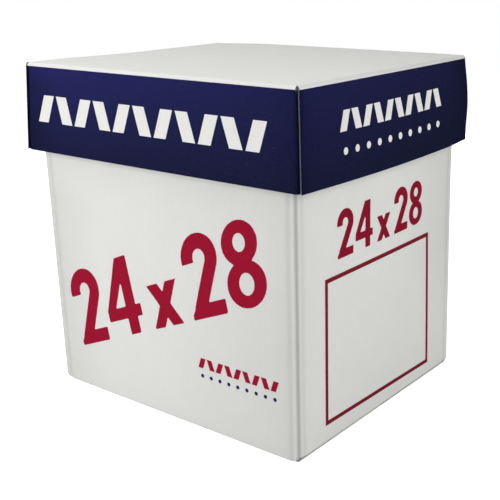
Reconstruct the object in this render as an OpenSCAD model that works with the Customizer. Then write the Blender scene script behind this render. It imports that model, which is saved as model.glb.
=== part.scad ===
// Carton of continuous form paper: a fan-folded stack in a half-slotted carton
// with a lift-off lid. Both board pieces are folded from one corrugated blank.
// Origin: centre of the carton's base, on the surface it stands on.
// X runs along the feed direction of the sheets, Y across it, Z is up.

/* [Paper] */
// Width of a sheet, from side edge to side edge
sheet_w = 241.3; // [200:0.1:320]
// Length of a sheet, from fold to fold
sheet_l = 279.4; // [250:0.1:360]
// Height of the stack at its folds
stack_h = 295; // [160:1:340]
// How far the stack dips between its folds
fold_swell = 4; // [1:0.5:8]
// Diameter of a feed hole
feed_hole_d = 4; // [3:0.1:5]
// Distance from one feed hole to the next
feed_pitch = 12.7; // [10:0.1:20]
// Distance from a side edge to the feed hole centres
feed_edge = 6.35; // [5:0.05:10]

/* [Board] */
// Thickness of the corrugated board
board_t = 3; // [2:0.1:4]
// Outer radius of a folded edge
fold_r = 2.5; // [1.5:0.1:4]
// Distance from a folded corner to the middle of its crushed score band
score_inset = 8; // [6:0.5:14]
// Depth of the crushed score band
score_d = 0.4; // [0.1:0.1:0.8]
// Radius of the hollow that the score band leaves in the board
score_r = 20; // [12:1:30]

/* [Carton] */
// Room between the folds and the walls, at each end
end_gap = 3.5; // [0.5:0.5:8]
// Room between the side edges and the walls, at each side
side_gap = 1.6; // [0.5:0.1:8]
// Height of the rim above the folds
head_room = 8; // [5:1:40]
// Gap where the outer bottom flaps meet
flap_seam = 1.5; // [0.5:0.5:6]
// Half width of the slots cut between the bottom flaps
slot_half = 2.5; // [1.5:0.5:5]
// Height of the slots above the upper bottom fold
slot_rise = 1.5; // [0.5:0.5:6]
// Width of the glue flap inside the back left corner
glue_flap_w = 35; // [20:1:60]
// How far the glue flap stays below the rim
glue_flap_drop = 2; // [0:0.5:10]
// Gap beside a cut board edge at a glued corner
joint_gap = 0.8; // [0.3:0.1:2]

/* [Lid] */
// Depth of the lid from its top face to its hem
lid_depth = 79; // [40:1:120]
// Clearance round the carton at the lid's top fold
lid_gap = 2; // [1:0.5:6]
// Angle by which the lid's walls lean outwards
lid_flare = 3.5; // [0:0.5:6]
// Width of the corner flaps glued inside the end walls
lid_flap_w = 38; // [20:1:60]
// How far the corner flaps stay above the hem
lid_flap_rise = 3; // [1:0.5:10]

/* [Print] */
// Thickness at which a printed mark stands on the board
ink_t = 0.1; // [0.05:0.05:0.3]
// Width of the frame printed on the right end
frame_w = 170; // [100:1:190]
// Height of the frame printed on the right end
frame_h = 130; // [60:1:150]
// Width of the frame's printed line
frame_line = 3; // [1:0.5:6]
// Height of the frame's lower edge above the surface
frame_z = 16; // [8:1:40]
// Number of panels in the fan-fold strip printed on the lid's front
strip_panels = 10; // [4:1:14]
// Height of the strip on the lid's front
strip_h = 24; // [10:1:36]
// Length of one panel of that strip
strip_pitch = 24; // [12:1:26]
// Size of the strip on the lid's right end, as a share of the front one
side_strip_scale = 0.6; // [0.4:0.05:0.7]

/* [Hidden] */
$fn = 48;

white_board = [0.86, 0.86, 0.84];
navy_ink = [0.12, 0.12, 0.27];
red_ink = [0.66, 0.07, 0.22];
white_paper = [0.95, 0.95, 0.93];

eps = 0.01;
// How far a cut runs past what it cuts, and a length beyond the whole carton
over = 5;
reach = 1000;

// Outside of the carton, and the levels of its folded bottom
carton_x = sheet_l + 2 * end_gap + 2 * board_t;
carton_y = sheet_w + 2 * side_gap + 2 * board_t;
inner_flap_z = board_t;
floor_z = 2 * board_t;
carton_h = floor_z + stack_h + head_room;
flap_l = (carton_y - flap_seam) / 2;
slot_top = inner_flap_z + slot_rise;

// Outside of the lid at its top fold. The end walls lie over the corner flaps.
wall_t = board_t / cos(lid_flare);
lid_half_x = carton_x / 2 + lid_gap + 2 * wall_t;
lid_half_y = carton_y / 2 + lid_gap + wall_t;
lid_top_z = carton_h + board_t;

// Feed holes along one edge of the stack
feed_count = floor((sheet_l + eps) / feed_pitch);
feed_start = -(feed_count - 1) / 2 * feed_pitch;

// A box between two opposite corners
module block(low, high) {
    translate(low) cube(high - low);
}

// A rectangle with round corners, centred
module rounded_rectangle(x, y, r) {
    square([x - 2 * r, y], center = true);
    square([x, y - 2 * r], center = true);
    for (sx = [-1, 1], sy = [-1, 1])
        translate([sx * (x / 2 - r), sy * (y / 2 - r)]) circle(r);
}

// A tray's section: open at the top, round folds at the bottom
module tray_section(width, height) {
    difference() {
        union() {
            translate([-width / 2, fold_r]) square([width, height - fold_r]);
            translate([-width / 2 + fold_r, 0]) square([width - 2 * fold_r, fold_r + eps]);
            for (s = [-1, 1]) translate([s * (width / 2 - fold_r), fold_r]) circle(fold_r);
        }
        translate([-width / 2 + board_t, board_t]) square([width - 2 * board_t, height]);
    }
}

// Front and back walls with the outer bottom flaps, which meet at a seam
module long_walls() {
    length = carton_x - 2 * slot_half;
    difference() {
        rotate([90, 0, 90]) linear_extrude(length, center = true) tray_section(carton_y, carton_h);
        block([-carton_x, -flap_seam / 2, -1], [carton_x, flap_seam / 2, board_t]);
    }
}

// End walls with the inner bottom flaps, which leave a gap between them
module end_walls() {
    flap_gap = carton_x - 2 * flap_l;
    difference() {
        translate([0, 0, inner_flap_z]) rotate([90, 0, 0])
            linear_extrude(carton_y - 2 * slot_half, center = true)
            tray_section(carton_x, carton_h - inner_flap_z);
        block([-flap_gap / 2, -carton_y, 0], [flap_gap / 2, carton_y, floor_z + 1]);
    }
}

// The four walls above the corner slots
module wall_sleeve() {
    translate([0, 0, slot_top]) linear_extrude(carton_h - slot_top) difference() {
        rounded_rectangle(carton_x, carton_y, fold_r);
        square([carton_x - 2 * board_t, carton_y - 2 * board_t], center = true);
    }
}

// The flap that joins the blank's two ends, inside the left wall
module glue_flap() {
    x = -carton_x / 2 + board_t;
    y = carton_y / 2 - board_t;
    block([x - eps, y - glue_flap_w, floor_z + joint_gap], [x + board_t, y + eps, carton_h - glue_flap_drop]);
}

// The cut end of the left wall stands a little short of the back wall's fold
module glued_corner_cut() {
    translate([-carton_x / 2, carton_y / 2, -1]) {
        block([-1, -joint_gap, 0], [board_t, 1, carton_h + 2]);
        translate([board_t, 0, 0]) round_off(carton_h + 2);
    }
}

// Takes the corner off an edge that stands at the origin, board on +X and -Y
module round_off(height) {
    difference() {
        block([-eps, -fold_r, 0], [fold_r, eps, height]);
        translate([fold_r, -fold_r, -1]) cylinder(r = fold_r, h = height + 2);
    }
}

// Hollows of the crushed board beside each vertical fold
module score_bands() {
    depth = score_r - score_d;
    for (sx = [-1, 1], sy = [-1, 1]) {
        translate([sx * (carton_x / 2 - score_inset), sy * (carton_y / 2 + depth), -1])
            cylinder(r = score_r, h = carton_h + 2);
        translate([sx * (carton_x / 2 + depth), sy * (carton_y / 2 - score_inset), -1])
            cylinder(r = score_r, h = carton_h + 2);
    }
}

// Frame for an address, printed on the right end
module printed_frame() {
    x = carton_x / 2;
    difference() {
        block([x - ink_t, -frame_w / 2, frame_z], [x + ink_t, frame_w / 2, frame_z + frame_h]);
        block([x - 1, -frame_w / 2 + frame_line, frame_z + frame_line],
              [x + 1, frame_w / 2 - frame_line, frame_z + frame_h - frame_line]);
    }
}

// Carton: four walls, four bottom flaps and a glue flap, folded from one blank
module carton() {
    color(white_board) difference() {
        union() {
            long_walls();
            end_walls();
            wall_sleeve();
            glue_flap();
        }
        score_bands();
        glued_corner_cut();
    }
    color(red_ink) printed_frame();
}

// A section with its top on the origin's level and sides that lean outwards
module flared_section(half, depth, r) {
    lean = tan(lid_flare);
    centre = half - r / cos(lid_flare) + r * lean;
    tangent = [centre + r * cos(lid_flare), -r + r * sin(lid_flare)];
    hem = half + depth * lean;
    polygon([
        [-centre, 0], [centre, 0], tangent, [hem, -depth],
        [-hem, -depth], [-tangent[0], tangent[1]],
    ]);
    if (r > 0) for (s = [-1, 1]) translate([s * centre, -r]) circle(r);
}

// Everything between the two sides that face X, or Y
module between_x(half, depth, r = 0) {
    rotate([90, 0, 0]) linear_extrude(reach, center = true) flared_section(half, depth, r);
}

module between_y(half, depth, r = 0) {
    rotate([90, 0, 90]) linear_extrude(reach, center = true) flared_section(half, depth, r);
}

// A block with four leaning sides, and round top edges if r is given
module flared_block(half_x, half_y, depth, r = 0) {
    intersection() {
        between_x(half_x, depth, r);
        between_y(half_y, depth, r);
    }
}

// The folds at the ends of the long walls, which lead into the corner flaps
module lid_corner_rounding() {
    lean = atan(sqrt(2) * tan(lid_flare));
    for (sx = [-1, 1], sy = [-1, 1])
        in_quarter(sx, sy) translate([lid_half_x - wall_t, lid_half_y, 0])
            rotate(45) rotate([0, -lean, 0]) rotate(-45)
            translate([0, 0, -lid_depth - over]) mirror([1, 0, 0]) round_off(lid_depth + over);
}

// Mirrors its children into one of the four quarters
module in_quarter(sx, sy) {
    mirror([sx < 0 ? 1 : 0, 0, 0]) mirror([0, sy < 0 ? 1 : 0, 0]) children();
}

// Slits beside the cut ends of the end walls
module lid_corner_slits() {
    difference() {
        flared_block(lid_half_x + 1, lid_half_y + 1, lid_depth + 1);
        translate([0, 0, 1]) between_x(lid_half_x - wall_t, lid_depth + over);
        translate([0, 0, 1]) between_y(lid_half_y - joint_gap, lid_depth + over);
    }
}

// Corner flaps of the long walls, glued inside the end walls
module lid_corner_flaps() {
    depth = lid_depth - lid_flap_rise;
    inside_y = lid_half_y - wall_t;
    intersection() {
        difference() {
            translate([0, 0, -board_t + eps]) flared_block(
                lid_half_x - wall_t + board_t * tan(lid_flare) + eps,
                inside_y + board_t * tan(lid_flare) + eps, depth - board_t);
            between_x(lid_half_x - 2 * wall_t, lid_depth + 1);
        }
        for (s = [-1, 1])
            block([-reach, s > 0 ? inside_y - lid_flap_w : -reach, -depth],
                  [reach, s > 0 ? reach : -inside_y + lid_flap_w, 0]);
    }
}

// The folded lid with its top face at the origin's level
module lid_shell() {
    lean = tan(lid_flare);
    difference() {
        flared_block(lid_half_x, lid_half_y, lid_depth, fold_r);
        translate([0, 0, -board_t]) flared_block(
            lid_half_x - wall_t + board_t * lean,
            lid_half_y - wall_t + board_t * lean, lid_depth);
        lid_corner_slits();
        lid_corner_rounding();
    }
    lid_corner_flaps();
}

// One strip of paper seen from its side, folded to and fro
module fan_fold_strip(panels, pitch, height) {
    slant = pitch / 3;
    thick = pitch * 0.55;
    translate([-(panels - 1) * pitch / 2, 0]) for (i = [0 : panels - 1]) {
        lean = i % 2 == 0 ? slant / 2 : -slant / 2;
        translate([i * pitch, 0]) polygon([
            [-thick / 2 - lean, -height / 2], [thick / 2 - lean, -height / 2],
            [thick / 2 + lean, height / 2], [-thick / 2 + lean, height / 2],
        ]);
    }
}

// Lays a drawing on a leaning wall, centred on the wall's height
module on_lid_wall(half) {
    translate([0, -half, 0]) rotate([-lid_flare, 0, 0]) translate([0, 0, -lid_depth / 2])
        rotate([90, 0, 0]) translate([0, 0, -ink_t]) linear_extrude(2 * ink_t) children();
}

// Marks printed in white on the front and the right end of the lid
module lid_print() {
    on_lid_wall(lid_half_y) fan_fold_strip(strip_panels, strip_pitch, strip_h);
    rotate(90) on_lid_wall(lid_half_x)
        scale(side_strip_scale) fan_fold_strip(strip_panels, strip_pitch, strip_h);
}

// Lid: a top, four walls and four corner flaps, folded from one blank
module lid() {
    translate([0, 0, lid_top_z]) {
        color(white_board) intersection() {
            lid_shell();
            block([-reach, -reach, -fold_r], [reach, reach, 1]);
        }
        color(navy_ink) intersection() {
            lid_shell();
            block([-reach, -reach, -reach], [reach, reach, -fold_r]);
        }
        color(white_board) lid_print();
    }
}

// The stack's outline from the side: a flat base and a top that dips
function stack_top(x) = stack_h - fold_swell * (1 - pow(2 * x / sheet_l, 4));

module stack_outline(steps = 24) {
    polygon(concat(
        [[-sheet_l / 2, 0], [sheet_l / 2, 0]],
        [for (i = [0 : steps]) let (x = sheet_l * (0.5 - i / steps)) [x, stack_top(x)]]
    ));
}

// Paper: one web of sheets folded to and fro, its feed holes in line
module paper_stack() {
    color(white_paper) translate([0, 0, floor_z]) difference() {
        rotate([90, 0, 0]) linear_extrude(sheet_w, center = true) stack_outline();
        for (s = [-1, 1], i = [0 : feed_count - 1])
            translate([feed_start + i * feed_pitch, s * (sheet_w / 2 - feed_edge), -1])
                cylinder(d = feed_hole_d, h = stack_h + 2);
    }
}

carton();
lid();
paper_stack();
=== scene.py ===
"""Looks of a carton of continuous form paper.

Each board piece is drawn flat, as the blank it is cut from, and folded up to the frame's sizes.
Its two liners and the fluted medium between them are sheets of their own, so cut edges show the flutes.
"""
import math

import bmesh
import bpy
import numpy as np
from mathutils import Matrix, Vector


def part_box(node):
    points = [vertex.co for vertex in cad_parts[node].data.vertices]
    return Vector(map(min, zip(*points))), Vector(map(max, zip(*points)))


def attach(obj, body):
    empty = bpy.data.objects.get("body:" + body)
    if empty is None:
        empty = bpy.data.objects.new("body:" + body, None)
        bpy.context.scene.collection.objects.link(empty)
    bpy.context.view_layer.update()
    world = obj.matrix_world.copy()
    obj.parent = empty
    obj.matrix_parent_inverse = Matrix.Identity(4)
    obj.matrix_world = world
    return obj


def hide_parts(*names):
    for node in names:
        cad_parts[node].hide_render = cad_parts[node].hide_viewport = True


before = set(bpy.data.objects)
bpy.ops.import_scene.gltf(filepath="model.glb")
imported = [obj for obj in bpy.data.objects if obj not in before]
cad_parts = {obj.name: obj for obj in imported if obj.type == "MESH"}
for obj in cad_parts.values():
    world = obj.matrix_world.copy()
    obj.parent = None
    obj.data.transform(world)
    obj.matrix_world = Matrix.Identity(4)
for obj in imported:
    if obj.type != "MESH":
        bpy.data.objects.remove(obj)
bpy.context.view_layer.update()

MM = 0.001

# Places of the frame's nodes
CARTON_LOW, CARTON_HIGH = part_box("carton")
LID_LOW, LID_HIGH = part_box("lid")
PAPER_LOW, PAPER_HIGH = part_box("paper_stack")
HALF_X = -CARTON_LOW.x
HALF_Y = CARTON_HIGH.y
RIM_Z = CARTON_HIGH.z
LID_Z = LID_HIGH.z
LID_DEPTH = LID_HIGH.z - LID_LOW.z

# Corrugated board
BOARD_T = 3.0 * MM
LINER_T = 0.35 * MM
MEDIUM_T = 0.25 * MM
FLUTE_PITCH = 6.4 * MM
FOLD_R = 3.2 * MM
QUARTER = math.pi / 2

# Carton
GLUE_FLAP_W = 35 * MM
GLUE_FLAP_DROP = 2 * MM
GLUE_FLAP_FOOT = 7 * MM
JOINT_GAP = 0.8 * MM
FLAP_SEAM = 1.5 * MM
SLOT_TOP = 6.4 * MM
SLOT_LOW = 4.4 * MM
SLOT_SIDE = 0.3 * MM
DENT_INSET = 7.4 * MM
DENT_D = 0.65 * MM
DENT_W = 2.4 * MM
SHOULDER_INSET = 3.8 * MM
SHOULDER_W = 0.9 * MM
CARTON_BOW = 0.7 * MM
BOW_SKEW = 0.8
RIPPLE = 0.12 * MM
RIPPLE_MARGIN = 0.06
CORNER_SWELL = 3.2 * MM
SWELL_TOP = 0.62 * RIM_Z
FLAP_END_W = 9 * MM
FLAP_REACH = 1.2 * MM
FLAP_CRUSH = 0.5
# Painted shade along the carton's creases: its widths, and how dark it makes bare board and ink
BEND_SHADE_W = 1.3 * MM
HALO_W = 12 * MM
CREASE_SHADE = 0.35
INK_CREASE_SHADE = 0.62

# How far the lid has sunk, and the rim of the carton under it
SETTLE_BACK = 1.0 * MM
SETTLE_LEFT = 2.0 * MM
SETTLE_LEFT_W = 50 * MM
SETTLE_LEFT_SPAN = -110 * MM, 10 * MM
SETTLE_FROM = 0.6 * RIM_Z

# Lid
LID_FLARE = math.radians(3.5)
CORNER_FLARE = math.radians(3.0)
LID_WALL = BOARD_T / math.cos(LID_FLARE)
LID_FLAP_W = 38 * MM
LID_FLAP_RISE = 3 * MM
LID_RELIEF = 3 * MM
LID_SLIT = 0.4 * MM
LID_SAG = 0.8 * MM
END_BOW = 0.6 * MM
LONG_BOW = 0.35 * MM
RIGHT_HEM = 2 * MM
KNOCK_W = 24 * MM
KNOCK_TOP = 1.4 * MM
KNOCK_HEM = 3 * MM
KNOCK_SLANT = 0.7
LID_DENT_INSET = 2.5 * MM
LID_DENT_D = 0.12 * MM
LID_DENT_W = 1.6 * MM
# Painted shade towards the lid's corners
LID_SHADE_W = 5 * MM
LID_HALO_W = 15 * MM
CUT_CRUSH = 0.62
LEFT_CRUSH = 0.86
HEM_CRUSH = 0.4
CUT_CRUSH_W = 5 * MM
LEFT_END_INK_W = 6 * MM

# Paper
FEED_PITCH = 12.7 * MM
FEED_HOLE_R = 2.0 * MM
FOLD_SWELL = 4 * MM
SHEET_T = 0.1 * MM
STACK_DROP = 2 * MM
SHEET_DROP = 1.9 * MM
SHEET_CURL = 1.6 * MM

# Print
INK_LIFT = 0.08 * MM
INK_ROUGH = 0.10 * MM
INK_SPECULAR = 0.0
LONGEST_EDGE = 6 * MM
BLACK = 0.0, 0.0, 0.0, 1.0
# Tint of the navy where it lies in painted shade
SHADED_INK_TINT = 0.34, 0.35, 0.04, 1.0


def smooth(low, high, value):
    """Rises from 0 at low to 1 at high."""
    t = np.clip((value - low) / (high - low), 0, 1)
    return t * t * (3 - 2 * t)


def lines(start, *stretches):
    """Grid lines from start through stretches, each given by its end and its largest step."""
    found = [start]
    for end, step in stretches:
        count = max(1, math.ceil((end - found[-1]) / step - 1e-6))
        found.extend(np.linspace(found[-1], end, count + 1)[1:])
    return np.array(found)


class FoldedPath:
    """A line in a plane that runs straight and turns right at each fold.

    The board's outer face lies along it, on its left, and distances are measured on that face.
    """

    def __init__(self, start, heading, runs, turn=QUARTER, radius=FOLD_R):
        self.radius = radius
        starts, points, headings, bent = [], [], [], []
        point, distance = np.array(start, float), 0.0
        for number, run in enumerate(runs):
            starts.append(distance)
            points.append(point)
            headings.append(heading)
            bent.append(False)
            point = point + run * self.ahead(heading)
            distance += run
            if number == len(runs) - 1:
                break
            starts.append(distance)
            points.append(point)
            headings.append(heading)
            bent.append(True)
            centre = point - radius * self.left(heading)
            heading -= turn
            point = centre + radius * self.left(heading)
            distance += radius * turn
        self.starts = np.array(starts)
        self.points = np.array(points)
        self.headings = np.array(headings)
        self.bent = np.array(bent)
        self.length = distance

    @staticmethod
    def ahead(heading):
        return np.stack([np.cos(heading), np.sin(heading)], -1)

    @staticmethod
    def left(heading):
        return np.stack([-np.sin(heading), np.cos(heading)], -1)

    def at(self, distance, depth=0.0):
        """The point at a distance along the outer face and a depth into the board."""
        part = np.clip(np.searchsorted(self.starts, distance, side="right") - 1, 0, None)
        along = distance - self.starts[part]
        first = self.headings[part]
        heading = first - np.where(self.bent[part], along / self.radius, 0)
        straight = self.points[part] + along[..., None] * self.ahead(first)
        centre = self.points[part] - self.radius * self.left(first)
        curved = centre + self.radius * self.left(heading)
        point = np.where(self.bent[part][..., None], curved, straight)
        return point - np.asarray(depth)[..., None] * self.left(heading)

    def folds(self):
        """The distances at which each fold starts and ends."""
        ends = np.append(self.starts[1:], self.length)
        return [(a, b) for a, b, bent in zip(self.starts, ends, self.bent) if bent]


def make_object(name, mesh, materials, body, node=None):
    """Links a mesh as a piece that rides on a body."""
    piece = bpy.data.objects.new(name, mesh)
    bpy.context.scene.collection.objects.link(piece)
    for material in materials:
        mesh.materials.append(material)
    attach(piece, body)
    if node:
        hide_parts(node)
    return piece


def sheet(us, vs, kept, place, near, far, finish, painted_shading):
    """A closed thin sheet over the kept cells of a grid on the blank, between two depths of the board.

    near and far give depths on the grid, finish the material numbers of the outer faces, the inner faces and
    the rim, and the last argument how much painted shade darkens the creases there.
    """
    u, v = np.meshgrid(us, vs, indexing="ij")
    flat = np.stack([u, v, painted_shading(u, v)], -1).reshape(-1, 3)
    points = np.concatenate([place(u, v, near(u, v)).reshape(-1, 3), place(u, v, far(u, v)).reshape(-1, 3)])
    blank = np.concatenate([flat, flat])
    count = u.size
    index = np.arange(count).reshape(u.shape)
    cell_u, cell_v = np.meshgrid((us[1:] + us[:-1]) / 2, (vs[1:] + vs[:-1]) / 2, indexing="ij")
    keep = kept(cell_u, cell_v)
    corner = [index[:-1, :-1], index[1:, :-1], index[1:, 1:], index[:-1, 1:]]
    outside = np.stack([c[keep] for c in corner], 1)
    inside = outside[:, ::-1] + count
    padded = np.pad(keep, 1)
    neighbours = [padded[1:-1, :-2], padded[2:, 1:-1], padded[1:-1, 2:], padded[:-2, 1:-1]]
    borders = [keep & ~neighbour for neighbour in neighbours]
    rims = []
    for side, border in enumerate(borders):
        first, second = corner[side][border], corner[(side + 1) % 4][border]
        rims.append(np.stack([second, first, first + count, second + count], 1))
    faces = np.concatenate([outside, inside, *rims])
    used, renumbered = np.unique(faces, return_inverse=True)
    outer_finish, inner_finish, rim_finish = finish
    numbers = [outer_finish(cell_u[keep], cell_v[keep]), inner_finish(cell_u[keep], cell_v[keep])]
    numbers += [rim_finish(cell_u[border], cell_v[border]) for border in borders]
    return points[used], renumbered.reshape(faces.shape), np.concatenate(numbers), blank[used]


def note_blank(mesh, values):
    """Notes each point's place on the flat blank and the painted shade there, which the materials read."""
    blank = mesh.attributes.new("blank", "FLOAT_VECTOR", "POINT")
    blank.data.foreach_set("vector", values.astype(np.float32).ravel())


def board_mesh(name, sheets):
    """Joins sheets into one mesh."""
    points, faces, numbers, blank, offset = [], [], [], [], 0
    for some_points, some_faces, some_numbers, some_blank in sheets:
        points.append(some_points)
        faces.append(some_faces + offset)
        numbers.append(some_numbers)
        blank.append(some_blank)
        offset += len(some_points)
    mesh = bpy.data.meshes.new(name)
    mesh.from_pydata(np.concatenate(points).tolist(), [], np.concatenate(faces).tolist())
    mesh.polygons.foreach_set("material_index", np.concatenate(numbers).astype(np.int32))
    mesh.polygons.foreach_set("use_smooth", np.ones(len(mesh.polygons), bool))
    note_blank(mesh, np.concatenate(blank))
    work = bmesh.new()
    work.from_mesh(mesh)
    bmesh.ops.recalc_face_normals(work, faces=work.faces)
    work.to_mesh(mesh)
    work.free()
    mesh.set_sharp_from_angle(angle=math.radians(35))
    return mesh


def plain(number):
    return lambda u, v: np.full(u.shape, number)


def corrugated(name, grids, place, crush, painted_shading, kept, finishes):
    """Outer liner, fluted medium and inner liner of one blank.

    grids holds the grid lines of the liners and of the medium. crush is how deep the outer face is pressed.
    finishes are those of the outer face, the inner face, the core and the outer liner's cut edges.
    """
    outer, inner, core, outer_rim = finishes
    liner_lines, medium_lines, across_flutes = grids

    def outer_face(u, v):
        return crush(u, v)

    def outer_back(u, v):
        return crush(u, v) + LINER_T

    def inner_front(u, v):
        return np.full_like(u, BOARD_T - LINER_T)

    def inner_face(u, v):
        return np.full_like(u, BOARD_T)

    def medium_middle(u, v):
        high, low = outer_back(u, v), inner_front(u, v)
        swing = (low - high - MEDIUM_T) / 2
        return (high + low) / 2 + swing * np.sin(2 * np.pi * across_flutes(u, v) / FLUTE_PITCH)

    return board_mesh(name, [
        sheet(*liner_lines, kept, place, outer_face, outer_back, (outer, core, outer_rim), painted_shading),
        sheet(*medium_lines, kept, place,
              lambda u, v: medium_middle(u, v) - MEDIUM_T / 2,
              lambda u, v: medium_middle(u, v) + MEDIUM_T / 2, (core, core, core), painted_shading),
        sheet(*liner_lines, kept, place, inner_front, inner_face, (core, inner, core), painted_shading),
    ])


# Carton: the blank's u runs round the walls from the glue flap, and v down from the rim
BACK_RUN = 2 * HALF_X - BOARD_T - 2 * FOLD_R
END_RUN = 2 * HALF_Y - 2 * FOLD_R
FRONT_RUN = 2 * HALF_X - 2 * FOLD_R
LEFT_RUN = 2 * HALF_Y - FOLD_R - JOINT_GAP
CARTON_LOOP = FoldedPath(
    (-HALF_X + BOARD_T, HALF_Y - GLUE_FLAP_W), QUARTER,
    [GLUE_FLAP_W - FOLD_R, BACK_RUN, END_RUN, FRONT_RUN, LEFT_RUN],
)
CORNERS = CARTON_LOOP.folds()
FLAP_RUN = HALF_Y - FLAP_SEAM / 2 - FOLD_R
LONG_WALL = FoldedPath((0, RIM_Z), -QUARTER, [RIM_Z - FOLD_R, FLAP_RUN])
END_WALL = FoldedPath((0, RIM_Z), -QUARTER, [RIM_Z - BOARD_T - FOLD_R, FLAP_RUN])


def on_end_wall(u):
    """True on the right and left walls, whose bottom flaps fold in first."""
    right = (u > CORNERS[1][1] - 1e-9) & (u < CORNERS[2][0] + 1e-9)
    return right | (u > CORNERS[3][1] - 1e-9)


def wall_share(u):
    """How far along its own wall a point lies, from 0 to 1, and 0 on the glue flap."""
    share = np.zeros_like(u)
    walls = [(CORNERS[k][1], CORNERS[k + 1][0] if k < 3 else CARTON_LOOP.length) for k in range(4)]
    for low, high in walls:
        share = np.where((u > low) & (u < high), (u - low) / (high - low), share)
    return share


def ripple(u, v):
    """Slow unevenness of a sheet of board, between about -1 and 1."""
    waves = [(17.0, 5.0, 0.4), (9.0, -13.0, 2.1), (31.0, 21.0, 4.4), (-23.0, 38.0, 1.3)]
    return sum(np.sin(a * u + b * v + c) for a, b, c in waves) / len(waves)


def settle(x, y):
    """How far the lid has sunk towards its back and along its left edge, and the rim under it too."""
    back = np.clip((y + LID_HIGH.y) / (2 * LID_HIGH.y), 0, 1)
    left = np.exp(-((x - LID_LOW.x) / SETTLE_LEFT_W) ** 2) * smooth(*SETTLE_LEFT_SPAN, y)
    return SETTLE_BACK * back + SETTLE_LEFT * left


def carton_bow(u, v):
    """How far a wall stands out from flat: bowed by the paper, and uneven away from its folds."""
    share = wall_share(u)
    bow = np.sin(np.pi * share) * np.sin(np.pi * np.clip(v / RIM_Z, 0, 1) ** BOW_SKEW)
    loose = smooth(0, RIPPLE_MARGIN, share) * smooth(1, 1 - RIPPLE_MARGIN, share)
    loose = loose * smooth(RIM_Z - 8 * MM, RIM_Z - 40 * MM, v)
    return CARTON_BOW * bow + RIPPLE * ripple(u, v) * loose


def carton_place(u, v, depth):
    """Folds a point of the carton's blank into place."""
    base = CARTON_LOOP.at(u)
    outward = base - CARTON_LOOP.at(u, np.full_like(u, 1.0))
    profile = np.where(on_end_wall(u)[..., None], END_WALL.at(v, depth), LONG_WALL.at(v, depth))
    ground = base + outward * (profile[..., 0] + carton_bow(u, v))[..., None]
    x, y, height = ground[..., 0], ground[..., 1], profile[..., 1]

    flap_end = smooth(HALF_X - FLAP_END_W, HALF_X - FOLD_R, np.abs(x)) * ~on_end_wall(u)
    flap_end = flap_end * smooth(RIM_Z - 2 * FOLD_R, RIM_Z + FOLD_R, v)
    x = x + np.sign(x) * FLAP_REACH * flap_end
    low = np.clip(1 - height / SWELL_TOP, 0, 1)
    x = x + CORNER_SWELL * low * np.clip(x / HALF_X, 0, 1) * np.clip((y + HALF_Y) / (2 * HALF_Y), 0, 1)
    crushed = FLAP_CRUSH * flap_end * (BOARD_T - depth)
    height = height + crushed - settle(x, y) * smooth(SETTLE_FROM, RIM_Z, height)
    return np.stack([x, y, height], -1)


def carton_crush(u, v):
    """Depth of the dents that the scoring rule leaves beside each vertical fold."""
    depth = np.zeros_like(u)
    for start, end in CORNERS:
        for middle in (start - DENT_INSET + FOLD_R, end + DENT_INSET - FOLD_R):
            depth = depth + DENT_D * np.exp(-((u - middle) / DENT_W) ** 2)
    return depth


def carton_painted_shade(u, v):
    """Painted shade along the vertical folds: darkest along the bend, less in the dents beside it, and a little round
    about.
    """
    painted_shading = np.zeros_like(u)
    for start, end in CORNERS:
        far = np.abs(u - (start + end) / 2)
        # The broad painted shade is left off the bend's shoulders, so a lighter line stands there as a painted
        # highlight.
        shoulder = np.exp(-((far - SHOULDER_INSET) / SHOULDER_W) ** 2)
        painted_shading = painted_shading + np.exp(-(far / BEND_SHADE_W) ** 3) + 0.2 * np.exp(-far / HALO_W) * (1 - shoulder)
        painted_shading = painted_shading + 0.25 * np.exp(-((far - DENT_INSET) / DENT_W) ** 2)
    return np.minimum(painted_shading, 1)


def carton_kept(u, v):
    """The blank's outline: walls, glue flap, and bottom flaps with slots between them."""
    slot_v = RIM_Z - SLOT_TOP
    wall = (v < slot_v) & (u > CORNERS[0][0])
    for start, end in CORNERS[1:]:
        low = (u > (start + end) / 2) if on_end_wall(np.array(start - MM)) else (u < (start + end) / 2)
        wall |= low & (u > start) & (u < end) & (v < RIM_Z - SLOT_LOW)
    glue_flap = (u < CORNERS[0][0]) & (v > GLUE_FLAP_DROP) & (v < RIM_Z - GLUE_FLAP_FOOT)
    flap_end = np.where(on_end_wall(u), END_WALL.length, LONG_WALL.length)
    flap = (v > slot_v) & (v < flap_end) & (u > CORNERS[0][1] + SLOT_SIDE)
    for start, end in CORNERS:
        flap &= (u < start - SLOT_SIDE) | (u > end + SLOT_SIDE)
    return wall | glue_flap | flap


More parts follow.
